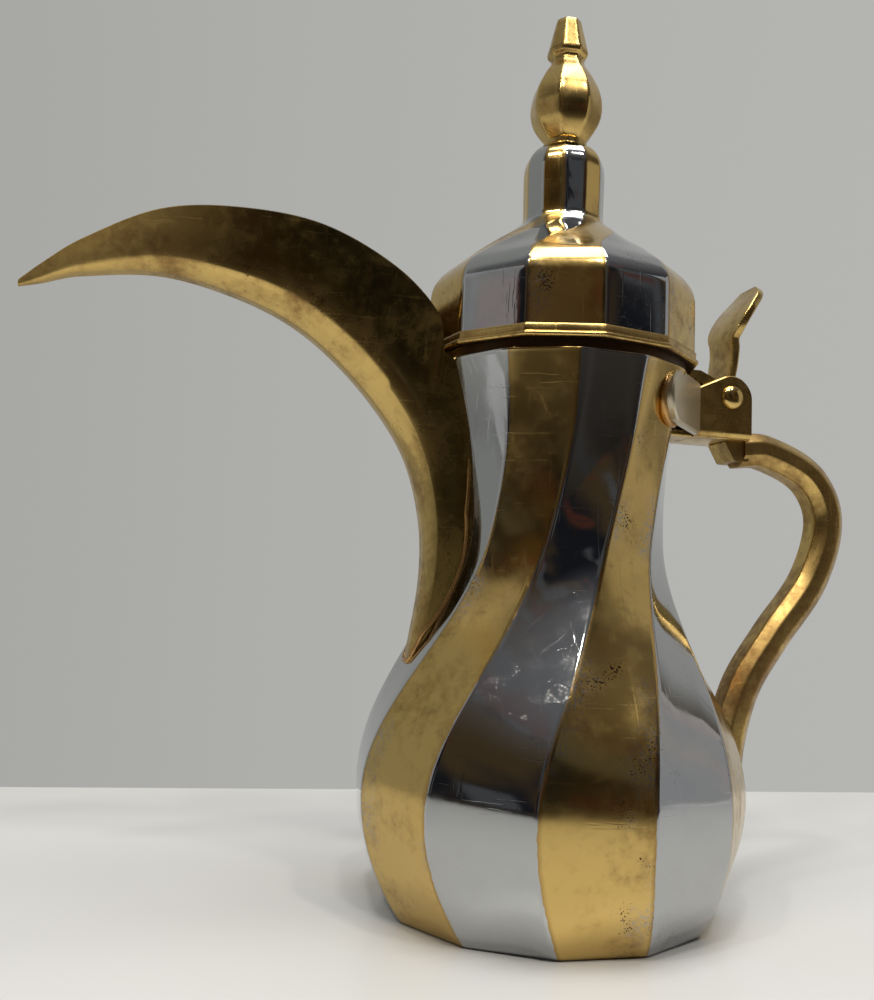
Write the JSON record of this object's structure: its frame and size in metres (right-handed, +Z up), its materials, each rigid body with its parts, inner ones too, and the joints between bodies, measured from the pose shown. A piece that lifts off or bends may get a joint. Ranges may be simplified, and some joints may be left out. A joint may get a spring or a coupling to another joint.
{
  "type": "dallah coffee pot",
  "caption": "Long-beaked coffee pot with a twisted many-sided body in alternating gold and chrome panels, crescent spout, bent bar handle and hinged lid with thumb lever and finial.",
  "frame": {"origin": "centre of the flat base, on the pot's axis", "axes": "+Z up along the pot's axis, +X towards the handle, -X towards the spout, Y along the hinge pin"},
  "size_m": [0.2791, 0.1246, 0.2983],
  "materials": {
    "gold_plate": "gold-plated brass, polished, tarnished in places",
    "chrome_plate": "polished chrome plate, with gold-plated panels between",
    "steel": "plain steel"
  },
  "bodies": {
    "pot": {"vessel_shell": "chrome_plate", "base_disc": "chrome_plate", "spout": "gold_plate", "hinge_bracket": "gold_plate", "hinge_wing_left": "chrome_plate", "hinge_wing_right": "chrome_plate", "hinge_pin": "gold_plate", "handle": "gold_plate"},
    "lid": {"lid_shell": "chrome_plate", "lid_flange": "gold_plate", "lid_seat_ring": "gold_plate", "lid_collar": "gold_plate", "finial": "gold_plate", "finial_bead": "gold_plate", "finial_stud": "steel", "finial_washer": "steel", "finial_nut": "steel", "lid_arm": "gold_plate", "thumb_lever": "gold_plate"}
  },
  "joints": [
    {"name": "lid_hinge", "type": "hinge", "parent": "pot", "child": "lid", "pos_m": [0.0595, 0, 0.1687], "axis": [0, 1, 0], "range_deg": [0, 80]}
  ]
}
